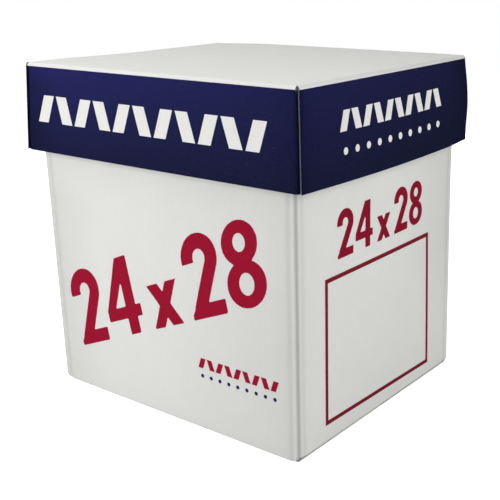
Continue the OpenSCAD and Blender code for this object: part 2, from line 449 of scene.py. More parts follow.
def carton_lines():
    """Grid lines for the carton's liners and medium."""
    fine, coarse = 1.0 * MM, 11 * MM
    margin = 14 * MM
    stretches = [(CORNERS[0][0], 6 * MM)]
    for number, (start, end) in enumerate(CORNERS):
        stop = CORNERS[number + 1][0] if number < 3 else CARTON_LOOP.length
        stretches += [(end, 0.63 * MM), (end + SLOT_SIDE, 1), (end + margin, fine), (stop - margin, coarse)]
        stretches += [(stop - SLOT_SIDE, fine), (stop, 1)]
    us = lines(0, *stretches)
    slot_v = RIM_Z - SLOT_TOP
    bend = END_WALL.folds()[0][0], LONG_WALL.folds()[0][1]
    vs = lines(
        0, (GLUE_FLAP_DROP, 1), (10 * MM, 4 * MM), (RIM_Z - 30 * MM, 12 * MM),
        (RIM_Z - GLUE_FLAP_FOOT, 4 * MM), (slot_v, 1), (bend[0], 1), (RIM_Z - SLOT_LOW, 0.7 * MM), (bend[1], 0.7 * MM),
        (END_WALL.length, 30 * MM), (LONG_WALL.length, 1),
    )
    wave = np.arange(0, CARTON_LOOP.length, FLUTE_PITCH / 6)
    needed = [CARTON_LOOP.length]
    for start, end in CORNERS:
        needed += [start - SLOT_SIDE, start, (start + end) / 2, end, end + SLOT_SIDE]
    medium_us = np.unique(np.concatenate([wave, needed]))
    medium_vs = lines(
        0, (GLUE_FLAP_DROP, 1), (RIM_Z - GLUE_FLAP_FOOT, 45 * MM), (slot_v, 1), (bend[0], 1),
        (RIM_Z - SLOT_LOW, 1.4 * MM), (bend[1], 1.4 * MM), (END_WALL.length, 70 * MM), (LONG_WALL.length, 1),
    )
    return (us, vs), (medium_us, medium_vs), lambda u, v: u


# Lid: the blank's a runs along X and b along Y, both from the middle of the top
TURN = QUARTER - CORNER_FLARE
LEAN = math.tan(CORNER_FLARE)
LID_HALF_X = LID_HIGH.x - LID_DEPTH * math.tan(LID_FLARE)
LID_HALF_Y = LID_HIGH.y - LID_DEPTH * math.tan(LID_FLARE)
BEND_BACK = FOLD_R * math.tan(TURN / 2)
TOP_A = LID_HALF_X - BEND_BACK
TOP_B = LID_HALF_Y - BEND_BACK
LID_DROP = (LID_DEPTH - FOLD_R * (1 - math.cos(TURN))) / math.sin(TURN)
SECTION_X = FoldedPath((0, 0), 0.0, [TOP_A, LID_DROP], TURN)
SECTION_Y = FoldedPath((0, 0), 0.0, [TOP_B, LID_DROP], TURN)
FOLD_A = SECTION_X.folds()[0][1]
FOLD_B = SECTION_Y.folds()[0][1]
LONG_HALF = LID_HALF_X - LID_WALL
CORNER_A = LONG_HALF - FOLD_R
LID_CORNER = FoldedPath((0, 0), 0.0, [CORNER_A, LID_FLAP_W - FOLD_R])
CORNER_END = LID_CORNER.folds()[0][1]
END_HALF = LID_HALF_Y - JOINT_GAP


def arched(along, half):
    """1 in the middle of a stretch and 0 at its two ends."""
    return np.cos(QUARTER * np.clip(along / half, -1, 1))


def squeezed(a, b, depth):
    """A depth below the outer face, less where the board is crushed at its cut ends and along the hem."""
    far_a, far_b = np.abs(a), np.abs(b)
    cut = smooth(END_HALF - CUT_CRUSH_W, END_HALF, far_b) * smooth(TOP_A, FOLD_A, far_a)
    far = np.maximum(far_a, far_b + LID_HALF_X - LID_HALF_Y)
    hem = smooth(SECTION_X.length - CUT_CRUSH_W, SECTION_X.length, far)
    return depth * (1 - np.maximum(np.where(a < 0, LEFT_CRUSH, CUT_CRUSH) * cut, HEM_CRUSH * hem))


def lid_end_wall(a, b, depth):
    """A point of the left or right wall, which bows outwards. The right one hangs lower in the middle."""
    point = SECTION_X.at(np.abs(a), depth)
    drop = -SECTION_X.at(np.abs(a))[..., 1]
    arch = (drop / LID_DEPTH) * arched(b, END_HALF)
    x = np.sign(a) * (point[..., 0] + END_BOW * arch)
    return x, b * (1 + LEAN * drop / LID_HALF_Y), point[..., 1] - RIGHT_HEM * arch * (a > 0)


def lid_long_wall(a, b, depth):
    """A point of the front or back wall, whose ends bend round into the corner flaps below the relief."""
    far_a, far_b = np.abs(a), np.abs(b)
    point, face = SECTION_Y.at(far_b, depth), SECTION_Y.at(far_b)
    drop = -face[..., 1]
    stretch = 1 + LEAN * drop / LONG_HALF
    bow = LONG_BOW * (drop / LID_DEPTH) * arched(a, LONG_HALF)
    corner = LID_CORNER.at(far_a, depth)
    bent_x = np.where(far_a <= CORNER_A, far_a * stretch, corner[..., 0] + LEAN * drop)
    straight = a * stretch, np.sign(b) * (point[..., 0] + bow)
    bent = np.sign(a) * bent_x, np.sign(b) * (face[..., 0] + bow + corner[..., 1])
    formed = smooth(FOLD_B, FOLD_B + LID_RELIEF, far_b)
    x, y = [s + (t - s) * formed for s, t in zip(straight, bent)]
    return x, y, point[..., 1]


def lid_top(a, b, depth):
    """A point of the top, which sags in the middle."""
    return a, b, -depth - LID_SAG * arched(a, TOP_A) * arched(b, TOP_B)


def knocked(x, y, low):
    """How far the back right corner is knocked in. low runs from 0 at the top to 1 at the hem."""
    near = np.exp(-(np.hypot(x - LID_HIGH.x, y - LID_HIGH.y) / KNOCK_W) ** 2)
    return near * (KNOCK_TOP * (1 - smooth(0, 0.4, low)) + KNOCK_HEM * smooth(0.5, 1, low))


def lid_place(a, b, depth):
    """Folds a point of the lid's blank into place, with the top's outer face at the lid's height."""
    depth = squeezed(a, b, depth)
    on_end = (np.abs(a) > TOP_A + 1e-9) & (np.abs(b) < END_HALF + 1e-6)
    on_long = (np.abs(b) > TOP_B + 1e-9) & ~on_end
    walls = zip(lid_end_wall(a, b, depth), lid_long_wall(a, b, depth), lid_top(a, b, depth))
    x, y, z = [np.where(on_end, end, np.where(on_long, wall, top)) for end, wall, top in walls]
    knock = knocked(x, y, -z / LID_DEPTH)
    return np.stack([x - KNOCK_SLANT * knock, y - knock, z + LID_Z - settle(x, y)], -1)


def lid_crush(a, b):
    """The lid's folds are scored from inside, so its outer face is pressed only a little beside them."""
    depth = np.zeros_like(a)
    for far, fold in ((np.abs(a), FOLD_A), (np.abs(b), FOLD_B)):
        depth = depth + LID_DENT_D * np.exp(-((far - fold - LID_DENT_INSET) / LID_DENT_W) ** 2)
    return depth


def lid_painted_shade(a, b):
    """Painted shade: the walls are painted darker towards the lid's corners."""
    def shade(far):
        return np.maximum(np.exp(-(far / LID_SHADE_W) ** 2), 0.5 * np.exp(-np.abs(far) / LID_HALO_W))

    bend = shade(np.abs(a) - CORNER_END) * (np.abs(b) > FOLD_B)
    return np.maximum(bend, shade(np.abs(b) - END_HALF) * (np.abs(a) > FOLD_A))


def lid_kept(a, b):
    """The blank's outline: top, four walls and four corner flaps, with slits at the end walls' ends."""
    far_a, far_b = np.abs(a), np.abs(b)
    top = (far_a < TOP_A) & (far_b < TOP_B)
    slit = (far_a < TOP_A + LID_SLIT) & (far_b > TOP_B)
    end = (far_a > TOP_A) & (far_b < END_HALF) & ~slit
    relief = FOLD_B + LID_RELIEF
    long_top = (far_b > TOP_B) & (far_b < relief) & (far_a < TOP_A)
    long_wall = (far_b > relief) & (far_a < CORNER_END)
    flap = (far_a > CORNER_END) & (far_a < LID_CORNER.length)
    flap &= (far_b > relief) & (far_b < SECTION_Y.length - LID_FLAP_RISE)
    return top | end | long_top | long_wall | flap


def lid_lines():
    """Grid lines for the lid's liners and medium."""
    def mirrored(half):
        return np.unique(np.concatenate([-half, half]).round(9))

    half_a = lines(
        0, (TOP_A - 12 * MM, 10 * MM), (CORNER_A, 2 * MM), (TOP_A, 0.65 * MM), (TOP_A + LID_SLIT, 1),
        (CORNER_END, 0.65 * MM), (FOLD_A, 0.65 * MM), (FOLD_A + 8 * MM, 0.9 * MM),
        (LID_CORNER.length, 6 * MM), (SECTION_X.length, 8 * MM),
    )
    half_b = lines(
        0, (TOP_B - 10 * MM, 10 * MM), (TOP_B, 2 * MM), (END_HALF, 0.65 * MM), (FOLD_B, 0.65 * MM),
        (FOLD_B + LID_RELIEF, 0.9 * MM), (FOLD_B + 9 * MM, 0.9 * MM),
        (SECTION_Y.length - LID_FLAP_RISE, 8 * MM), (SECTION_Y.length, 1),
    )
    needed = [CORNER_A, TOP_A, TOP_A + LID_SLIT, CORNER_END, LID_CORNER.length, SECTION_X.length]
    wave = np.arange(0, SECTION_X.length, FLUTE_PITCH / 8)
    medium_a = np.unique(np.concatenate([wave, needed]))
    medium_b = lines(
        0, (TOP_B, 32 * MM), (END_HALF, 1.2 * MM), (FOLD_B, 1.2 * MM), (FOLD_B + LID_RELIEF, 1.7 * MM),
        (SECTION_Y.length - LID_FLAP_RISE, 24 * MM), (SECTION_Y.length, 1),
    )
    liner = mirrored(half_a), mirrored(half_b)
    medium = mirrored(medium_a), mirrored(medium_b)
    return liner, medium, lambda a, b: a


def lid_finish(a, b):
    """Navy ink on the walls, from just below the folds, and white board on the top."""
    return np.where((np.abs(a) > FOLD_A) | (np.abs(b) > FOLD_B), 3, 0)


def inked_left_end(number):
    """A finish that gives way to navy ink at the left wall's front end."""
    return lambda a, b: np.where((a < -FOLD_A) & (b < LEFT_END_INK_W - END_HALF) & (b > -END_HALF - 1e-6), 3, number)


# Materials


class Shader:
    """A material's node tree, with a short way to add and link nodes."""

    def __init__(self, name):
        self.material = bpy.data.materials.new(name)
        self.material.use_nodes = True
        self.tree = self.material.node_tree
        self.surface = self.tree.nodes["Principled BSDF"]

    def add(self, kind, *inputs, output=0, **settings):
        """Adds a node, sets its settings and inputs, and returns one of its outputs."""
        node = self.tree.nodes.new("ShaderNode" + kind)
        for key, value in settings.items():
            setattr(node, key, value)
        for socket, value in inputs:
            self.set(node.inputs[socket], value)
        return node.outputs[output]

    def set(self, socket, value):
        if isinstance(value, bpy.types.NodeSocket):
            self.tree.links.new(value, socket)
        else:
            socket.default_value = value

    def math(self, operation, *values):
        return self.add("Math", *enumerate(values), operation=operation)

    def mix(self, factor, first, second, blend="MIX"):
        """Mixes two colours."""
        inputs = (0, factor), (6, first), (7, second)
        return self.add("Mix", *inputs, output=2, data_type="RGBA", blend_type=blend)

    def noise(self, vector, scale, detail=2.0, roughness=0.5):
        inputs = ("Vector", vector), ("Scale", scale), ("Detail", detail), ("Roughness", roughness)
        return self.add("TexNoise", *inputs)

    def spread(self, value, low, high, new_low=0.0, new_high=1.0):
        """Stretches a value from one range to another."""
        return self.add("MapRange", *enumerate((value, low, high, new_low, new_high)))

    def patch(self, first, second):
        """The product of two spreads, each given by its inputs."""
        return self.math("MULTIPLY", self.spread(*first), self.spread(*second))

    def place(self):
        """A point's three coordinates on its piece."""
        place = self.add("TexCoord", output=3)
        return [self.add("SeparateXYZ", (0, place), output=axis) for axis in range(3)]

    def bump(self, height):
        return self.add("Bump", ("Height", height), ("Strength", 1.0), ("Distance", 1.0))

    def finish(self, colour, roughness, specular, normal):
        self.set(self.surface.inputs["Base Color"], colour)
        self.set(self.surface.inputs["Roughness"], roughness)
        self.surface.inputs["Specular IOR Level"].default_value = specular
        self.set(self.surface.inputs["Normal"], normal)
        return self.material


def srgb(red, green, blue):
    """A colour given from 0 to 255 as it looks, as the shader's linear values."""
    def linear(value):
        value /= 255
        return value / 12.92 if value <= 0.04045 else ((value + 0.055) / 1.055) ** 2.4
    return linear(red), linear(green), linear(blue), 1.0


def scaled(colour, factor):
    return tuple(factor * part for part in colour[:3]) + (1.0,)


def board_surface(shader, colour, crease_shade):
    """Fibres, clouding and the faint washboard that the flutes leave in a liner, darkened by the painted shade noted
    on the blank.
    """
    blank = shader.add("Attribute", output=1, attribute_name="blank")
    place = shader.add("TexCoord", output=3)
    along = shader.add("SeparateXYZ", (0, blank))
    turns = shader.math("MULTIPLY", along, 2 * math.pi / FLUTE_PITCH)
    washboard = shader.math("SINE", turns)
    cloud = shader.noise(place, 38.0, 3.0)
    blotch = shader.noise(place, 210.0, 4.0, 0.6)
    stretched = shader.add("Mapping", (0, place), (3, (1.0, 1.0, 0.3)))
    fibre = shader.noise(stretched, 2600.0, 5.0, 0.7)
    tone = shader.mix(shader.spread(cloud, 0.3, 0.7), scaled(colour, 0.975), scaled(colour, 1.015))
    tone = shader.mix(shader.spread(blotch, 0.35, 0.7), tone, scaled(colour, 0.985))
    tone = shader.mix(shader.spread(fibre, 0.42, 0.62, 0.0, 0.35), tone, scaled(colour, 0.94))
    tone = shader.mix(shader.spread(washboard, -1.0, 1.0, 0.0, 0.28), tone, scaled(colour, 0.965))
    # Painted shade, from the blank's third coordinate
    shade_amount = shader.add("SeparateXYZ", (0, blank), output=2)
    tone = shader.mix(shader.math("MULTIPLY", shade_amount, crease_shade), tone, BLACK)
    height = shader.math("MULTIPLY", washboard, 0.022 * MM)
    height = shader.math("ADD", height, shader.math("MULTIPLY", fibre, 0.05 * MM))
    height = shader.math("ADD", height, shader.math("MULTIPLY", blotch, 0.03 * MM))
    return tone, blotch, shader.bump(height)


def white_liner(name, colour, painted_light=None):
    """Bare white board. Its last argument gives painted shade: how much darker it is painted from place to place."""
    shader = Shader(name)
    tone, blotch, normal = board_surface(shader, colour, CREASE_SHADE)
    # Painted shade
    if painted_light:
        tone = shader.mix(painted_light(shader), tone, BLACK)
    roughness = shader.spread(blotch, 0.3, 0.7, 0.72, 0.86)
    return shader.finish(tone, roughness, 0.08, normal)


def printed_liner(name, ink, board, gloss=0.5, painted_light=None):
    """Flexographic ink: mottled, with pinholes that let the board show. Its last argument paints light and shade onto
    its colour.
    """
    shader = Shader(name)
    tone, blotch, normal = board_surface(shader, ink, INK_CREASE_SHADE)
    place = shader.add("TexCoord", output=3)
    # Painted light and shade
    if painted_light:
        tone = painted_light(shader, tone)
    grain = shader.noise(place, 1400.0, 4.0, 0.65)
    tone = shader.mix(shader.spread(grain, 0.35, 0.75, 0.0, 0.35), tone, scaled(ink, 1.35))
    specks = shader.noise(place, 2300.0, 2.0, 0.5)
    pinholes = shader.spread(specks, 0.74, 0.80, 0.0, 0.5)
    tone = shader.mix(pinholes, tone, board)
    roughness = shader.spread(blotch, 0.3, 0.7, gloss - 0.06, gloss + 0.08)
    return shader.finish(tone, roughness, INK_SPECULAR, normal)


def board_core(name, colour):
    """Bare fibrous board: cut edges, the medium and the liners' hidden faces."""
    shader = Shader(name)
    place = shader.add("TexCoord", output=3)
    fibre = shader.noise(place, 1900.0, 6.0, 0.7)
    cloud = shader.noise(place, 90.0, 3.0)
    tone = shader.mix(shader.spread(fibre, 0.35, 0.7), scaled(colour, 1.05), scaled(colour, 0.84))
    tone = shader.mix(shader.spread(cloud, 0.3, 0.7, 0.0, 0.5), tone, scaled(colour, 0.93))
    height = shader.math("MULTIPLY", fibre, 0.09 * MM)
    return shader.finish(tone, 0.88, 0.2, shader.bump(height))


def lid_painted_light(shader, tone):
    """Painted light on the navy: lighter towards the lid's front left corner and its top folds, with painted shade
    lower down, at the lower left end and at the walls' back ends.
    """
    x, y, z = shader.place()
    along = shader.spread(x, LID_LOW.x, LID_HIGH.x, 1.0, 0.56)
    along = shader.math("ADD", along, shader.spread(y, LID_LOW.y, LID_HIGH.y, 0.0, -0.3))
    lit_share = shader.math("MULTIPLY", along, shader.spread(z, LID_LOW.z, LID_HIGH.z, 0.31, 1.04))
    # Painted shade at the lower left end and at the walls' back ends
    left = shader.patch((x, LID_LOW.x, LID_LOW.x + 55 * MM, 0.5, 0.0),
                        (z, LID_Z - 5 * MM, LID_Z - 20 * MM))
    back = shader.patch((y, LID_HIGH.y - 40 * MM, LID_HIGH.y - 5 * MM, 0.0, 0.8),
                        (z, LID_LOW.z + 20 * MM, LID_Z - 20 * MM))
    lit_share = shader.math("MULTIPLY", lit_share, shader.math("SUBTRACT", 1.0, shader.math("MAXIMUM", left, back)))
    # The navy in full painted shade
    thick = shader.mix(1.0, tone, SHADED_INK_TINT, "MULTIPLY")
    return shader.mix(lit_share, thick, tone)


def wall_painted_shade(shader):
    """Painted shade: the front wall is painted a little greyer towards its ends, and the right wall towards its back.
    """
    x, y, z = shader.place()
    right_end = shader.patch((x, -0.05 * HALF_X, HALF_X, 0.0, 0.11),
                             (z, 0.35 * RIM_Z, 0.8 * RIM_Z, 1.0, 0.45))
    left_end = shader.patch((x, -HALF_X, -0.55 * HALF_X, 0.12, 0.0), (z, 0.75 * RIM_Z, 0.6 * RIM_Z))
    on_front = shader.spread(y, MM - HALF_Y, 7 * MM - HALF_Y, 1.0, 0.0)
    front = shader.math("MULTIPLY", shader.math("ADD", right_end, left_end), on_front)
    right = shader.patch((y, 0.2 * HALF_Y, HALF_Y, 0.0, 0.12), (z, 0.15 * RIM_Z, 0.42 * RIM_Z))
    return shader.math("ADD", front, right)


def top_painted_shade(shader):
    """Painted shade: the lid's top is painted a little greyer towards the back."""
    y = shader.place()[1]
    return shader.spread(y, LID_LOW.y, LID_HIGH.y, 0.0, 0.16)


def paper_surface(name, colour):
    """Uncoated paper. Its sides show the edges of the sheets as fine level lines."""
    shader = Shader(name)
    place = shader.add("TexCoord", output=3)
    geometry = shader.add("NewGeometry", output=1)
    up = shader.add("SeparateXYZ", (0, geometry), output=2)
    side = shader.spread(shader.math("ABSOLUTE", up), 0.85, 0.6)
    fine = shader.add("Mapping", (0, place), (3, (4.0, 4.0, 1100.0)))
    layers = shader.noise(fine, 5.0, 5.0, 0.75)
    coarse = shader.add("Mapping", (0, place), (3, (2.0, 2.0, 160.0)))
    bands = shader.noise(coarse, 4.0, 3.0, 0.6)
    grain = shader.noise(place, 1700.0, 4.0, 0.6)
    tone = shader.mix(shader.spread(grain, 0.3, 0.7, 0.0, 0.5), colour, scaled(colour, 0.97))
    edge = shader.mix(shader.spread(layers, 0.3, 0.7), colour, scaled(colour, 0.72))
    edge = shader.mix(shader.spread(bands, 0.3, 0.7, 0.0, 0.5), edge, scaled(colour, 0.86))
    tone = shader.mix(side, tone, edge)
    lift = shader.math("MULTIPLY", shader.math("MULTIPLY", layers, side), 0.12 * MM)
    height = shader.math("ADD", lift, shader.math("MULTIPLY", grain, 0.012 * MM))
    return shader.finish(tone, 0.8, 0.25, shader.bump(height))


# Paper


def hole_cell(work, x, y):
    """One square of a feed strip with its round hole."""
    side, square = [(t, -1) for t in (-1, -0.5, 0, 0.5)], []
    for _ in range(4):
        square += side
        side = [(-py, px) for px, py in side]
    half = FEED_PITCH / 2
    rim, hole = [], []
    for px, py in square:
        share = FEED_HOLE_R / math.hypot(px, py)
        rim.append(work.verts.new((x + px * half, y + py * half, 0)))
        hole.append(work.verts.new((x + px * share, y + py * share, 0)))
    for k in range(len(rim)):
        n = (k + 1) % len(rim)
        work.faces.new((rim[k], rim[n], hole[n], hole[k]))


def sheet_plan(work):
    """One flat sheet: two feed strips with their holes, and the plain field between them."""
    columns = round((PAPER_HIGH.x - PAPER_LOW.x) / FEED_PITCH)
    step = (PAPER_HIGH.x - PAPER_LOW.x) / columns
    for column in range(columns):
        x = PAPER_LOW.x + (column + 0.5) * step
        for side in (-1, 1):
            hole_cell(work, x, side * (PAPER_HIGH.y - FEED_PITCH / 2))
    xs = np.linspace(PAPER_LOW.x, PAPER_HIGH.x, 4 * columns + 1)
    field = PAPER_HIGH.y - FEED_PITCH
    ys = np.linspace(-field, field, 18)
    grid = [[work.verts.new((x, y, 0)) for y in ys] for x in xs]
    for i in range(len(xs) - 1):
        for j in range(len(ys) - 1):
            work.faces.new((grid[i][j], grid[i + 1][j], grid[i + 1][j + 1], grid[i][j + 1]))
    bmesh.ops.remove_doubles(work, verts=work.verts, dist=0.05 * MM)


def dip(x):
    """How far the stack's top lies below its folds."""
    return FOLD_SWELL * (1 - (x / PAPER_HIGH.x) ** 4)


def extruded(work):
    """Extrudes a flat plan and returns the corners of its raised copy."""
    made = bmesh.ops.extrude_face_region(work, geom=work.faces[:])["geom"]
    return {item for item in made if isinstance(item, bmesh.types.BMVert)}


def thicken(work, low, high):
    """Makes a flat plan into a solid between two heights, each a function of the place."""
    raised = extruded(work)
    for vert in work.verts:
        vert.co.z = high(vert.co.x, vert.co.y) if vert in raised else low(vert.co.x, vert.co.y)
    bmesh.ops.recalc_face_normals(work, faces=work.faces)


def paper_mesh(name, low, high):
    """A sheet's outline and holes, carried up from a low to a high face."""
    work = bmesh.new()
    sheet_plan(work)
    thicken(work, low, high)
    mesh = bpy.data.meshes.new(name)
    work.to_mesh(mesh)
    work.free()
    for face in mesh.polygons:
        face.use_smooth = True
    mesh.set_sharp_from_angle(angle=math.radians(30))
    return mesh


def top_sheet_height(x, y):
    """The top sheet lies on the stack and curls up a little at its free edge."""
    curl = SHEET_CURL * smooth(0.55, 1.0, x / PAPER_HIGH.x) * (0.75 + 0.25 * y / PAPER_HIGH.y)
    return PAPER_HIGH.z - dip(x) - SHEET_DROP + float(curl)


# Print


def fan_fold_strip(panels, pitch, height):
    """One strip of paper seen from its side, folded to and fro, as a list of outlines."""
    slant, thick = pitch / 3, pitch * 0.55
    outlines = []
    for number in range(panels):
        middle = (number - (panels - 1) / 2) * pitch
        lean = slant / 2 if number % 2 == 0 else -slant / 2
        outlines.append([
            (middle - thick / 2 - lean, -height / 2), (middle + thick / 2 - lean, -height / 2),
            (middle + thick / 2 + lean, height / 2), (middle - thick / 2 + lean, height / 2),
        ])
    return outlines


def frame_outlines(corners, line):
    """A frame of four bars with mitred ends, whose middles run through four corners."""
    middle = np.mean(corners, 0)
    outward = np.sign(np.array(corners) - middle) * line / 2
    outer, inner = np.array(corners) + outward, np.array(corners) - outward
    return [[outer[k], outer[(k + 1) % 4], inner[(k + 1) % 4], inner[k]] for k in range(4)]


def hole_row(holes, pitch):
    """A row of round feed holes."""
    radius = 0.18 * pitch
    turns = [math.tau * k / 20 for k in range(20)]
    outlines = []
    for number in range(holes):
        middle = (number - (holes - 1) / 2) * pitch
        outlines.append([(middle + radius * math.cos(t), radius * math.sin(t)) for t in turns])
    return outlines


def shifted(outlines, rise):
    return [[(x, y + rise) for x, y in outline] for outline in outlines]


def strip_and_holes(panels, pitch):
    """A strip of paper above a row of its feed holes."""
    strip = shifted(fan_fold_strip(panels, pitch, pitch), 0.65 * pitch)
    return strip + shifted(hole_row(panels, pitch), -0.8 * pitch)


def outline_plan(work, outlines):
    """Fills outlines that don't cross."""
    for outline in outlines:
        work.faces.new([work.verts.new((x, y, 0)) for x, y in outline])
    bmesh.ops.remove_doubles(work, verts=work.verts, dist=0.01 * MM)


def convex(x, y, *corners):
    """How far points lie outside a convex figure, given by its corners anticlockwise. Inside is negative."""
    outside = np.full(x.shape, -np.inf)
    for (x0, y0), (x1, y1) in zip(corners, corners[1:] + corners[:1]):
        length = math.hypot(x1 - x0, y1 - y0)
        outside = np.maximum(outside, ((x - x0) * (y1 - y0) - (y - y0) * (x1 - x0)) / length)
    return outside


def ellipse(x, y, centre, radii):
    """How far points lie outside an ellipse, nearly."""
    return (np.hypot((x - centre[0]) / radii[0], (y - centre[1]) / radii[1]) - 1) * min(radii)


def digit_two(x, y):
    """A bold 2 with a cap height of 1 and a width of 0.57."""
    centre = 0.285, 0.71
    ring = np.maximum(ellipse(x, y, centre, (0.285, 0.29)), -ellipse(x, y, centre, (0.095, 0.105)))
    hook = np.maximum.reduce([ring, x - centre[0], centre[1] - 0.04 - y])
    bowl = np.maximum.reduce([ring, centre[0] - x, (centre[0] - x) * 0.5 + (centre[1] - y) * 0.866])
    stem = convex(x, y, (0.063, 0.135), (0.227, 0.04), (0.532, 0.5675), (0.367, 0.6575))
    base = convex(x, y, (0.015, 0.0), (0.57, 0.0), (0.57, 0.175), (0.105, 0.175), (0.015, 0.06))
    return np.minimum.reduce([hook, bowl, stem, base])


def digit_four(x, y):
    stem = convex(x, y, (0.36, 0.0), (0.545, 0.0), (0.545, 1.0), (0.36, 1.0))
    bar = convex(x, y, (0.0, 0.215), (0.64, 0.215), (0.64, 0.37), (0.0, 0.37))
    slope = convex(x, y, (0.0, 0.36), (0.165, 0.36), (0.40, 0.76), (0.40, 1.0), (0.335, 1.0))
    return np.minimum.reduce([stem, bar, slope])


def digit_eight(x, y):
    high = ellipse(x, y, (0.29, 0.745), (0.265, 0.255))
    high = np.maximum(high, -ellipse(x, y, (0.29, 0.75), (0.09, 0.105)))
    low = ellipse(x, y, (0.29, 0.275), (0.29, 0.275))
    return np.minimum(high, np.maximum(low, -ellipse(x, y, (0.29, 0.275), (0.11, 0.13))))


def times_sign(x, y):
    rising = convex(x, y, (0.0, 0.0), (0.19, 0.0), (0.52, 0.55), (0.33, 0.55))
    falling = convex(x, y, (0.33, 0.0), (0.52, 0.0), (0.19, 0.55), (0.0, 0.55))
    return np.minimum(rising, falling)


def numerals(x, y):
    """The sheet's width and length in centimetres, 3.36 long and 1 high, centred on the origin."""
    x, y = x + 1.68, y + 0.5
    glyphs = (digit_two, 0.0), (digit_four, 0.65), (times_sign, 1.46), (digit_two, 2.14), (digit_eight, 2.78)
    return np.minimum.reduce([glyph(x - shift, y) for glyph, shift in glyphs])


def numeral_plan(work, height, cell):
    """Fills the numerals with small cells that are cut where they cross an outline."""
    xs = np.arange(-1.8 * height, 1.8 * height, cell)
    ys = np.arange(-0.6 * height, 0.6 * height, cell)
    x, y = np.meshgrid(xs, ys, indexing="ij")
    ragged = INK_ROUGH * np.sin(x * 2100 + 3 * np.sin(y * 1300)) * np.sin(y * 1700 + 2 * np.sin(x * 900))
    outside = numerals(x / height, y / height) * height + ragged
    outside = np.where(np.abs(outside) < cell * 0.02, cell * 0.02, outside)
    made = {}

    def vertex(i, j, k, m):
        """A corner of the grid, or the crossing on the edge between two of them."""
        key = min((i, j), (k, m)), max((i, j), (k, m))
        if key not in made:
            here, there = outside[i, j], outside[k, m]
            share = 0 if (i, j) == (k, m) else here / (here - there)
            across = x[i, j] + share * (x[k, m] - x[i, j])
            up = y[i, j] + share * (y[k, m] - y[i, j])
            made[key] = work.verts.new((across, up, 0))
        return made[key]

    inside = outside < 0
    touched = inside[:-1, :-1] | inside[1:, :-1] | inside[1:, 1:] | inside[:-1, 1:]
    for i, j in zip(*np.nonzero(touched)):
        ring = (i, j), (i + 1, j), (i + 1, j + 1), (i, j + 1)
        outline = []
        for here, there in zip(ring, ring[1:] + ring[:1]):
            if inside[here]:
                outline.append(vertex(*here, *here))
            if inside[here] != inside[there]:
                outline.append(vertex(*here, *there))
        if len(outline) > 2:
            work.faces.new(outline)


def divide(work, longest):
    """Cuts long edges until the mesh can follow a bowed wall."""
    bmesh.ops.triangulate(work, faces=work.faces)
    for _ in range(8):
        long_edges = [edge for edge in work.edges if edge.calc_length() > longest]
        if not long_edges:
            break
        bmesh.ops.subdivide_edges(work, edges=long_edges, cuts=1)
        bmesh.ops.triangulate(work, faces=work.faces)


def print_mark(name, body, on_wall, centre, matrix, material, draw):
    """Lays a flat drawing on a wall as a thin layer of ink.

    centre is in millimetres, and on_wall turns wall coordinates and a depth into a place.
    """
    work = bmesh.new()
    draw(work)
    for vert in work.verts:
        flat = matrix @ np.array(vert.co.xy) + MM * np.array(centre)
        vert.co = (flat[0], flat[1], 0)
    divide(work, LONGEST_EDGE)
    raised = extruded(work)
    verts = work.verts[:]
    flat = np.array([vert.co.xy[:] for vert in verts])
    depth = np.array([-INK_LIFT if vert in raised else LINER_T / 4 for vert in verts])
    placed = on_wall(flat[:, 0], flat[:, 1], depth)
    for vert, point in zip(verts, placed):
        vert.co = point
    bmesh.ops.recalc_face_normals(work, faces=work.faces)
    mesh = bpy.data.meshes.new(name)
    work.to_mesh(mesh)
    work.free()
    note_blank(mesh, np.concatenate([flat, np.zeros((len(flat), 1))], 1))
    make_object(name, mesh, [material], body)


def on_front(x, z, depth):
    """The carton's front wall, with x along the row's X and z its height."""
    return carton_place(CORNERS[2][1] + (HALF_X - FOLD_R - x), RIM_Z - z, depth)


def on_right(y, z, depth):
    """The carton's right wall, read from outside: left to right is the row's +Y."""
    return carton_place(CORNERS[1][1] + (HALF_Y - FOLD_R - y), RIM_Z - z, depth)


def on_lid_front(x, z, depth):
    return lid_place(x, -(FOLD_B + (LID_Z - z) - FOLD_R), depth)


def on_lid_right(y, z, depth):
    return lid_place(FOLD_A + (LID_Z - z) - FOLD_R, y, depth)


# Light, floor and camera


def camera_only(tree, seen, unseen):
    """Mixes in what the camera, mirrors and glass see."""
    path = tree.nodes.new("ShaderNodeLightPath")
    rays = path.outputs["Is Camera Ray"]
    for kind in ("Is Glossy Ray", "Is Transmission Ray"):
        either = tree.nodes.new("ShaderNodeMath")
        either.operation = "MAXIMUM"
        tree.links.new(rays, either.inputs[0])
        tree.links.new(path.outputs[kind], either.inputs[1])
        rays = either.outputs[0]
    mix = tree.nodes.new("ShaderNodeMixShader")
    for number, source in enumerate((rays, unseen, seen)):
        tree.links.new(source, mix.inputs[number])
    return mix.outputs[0]


def white_world(ambient):
    world = bpy.data.worlds.new("studio")
    bpy.context.scene.world = world
    world.use_nodes = True
    tree = world.node_tree
    unseen = tree.nodes["Background"]
    unseen.inputs["Color"].default_value = (1.0, 1.0, 1.0, 1.0)
    unseen.inputs["Strength"].default_value = ambient
    seen = tree.nodes.new("ShaderNodeBackground")
    seen.inputs["Color"].default_value = (1.0, 1.0, 1.0, 1.0)
    seen.inputs["Strength"].default_value = 1.0
    result = camera_only(tree, seen.outputs[0], unseen.outputs[0])
    tree.links.new(result, tree.nodes["World Output"].inputs["Surface"])


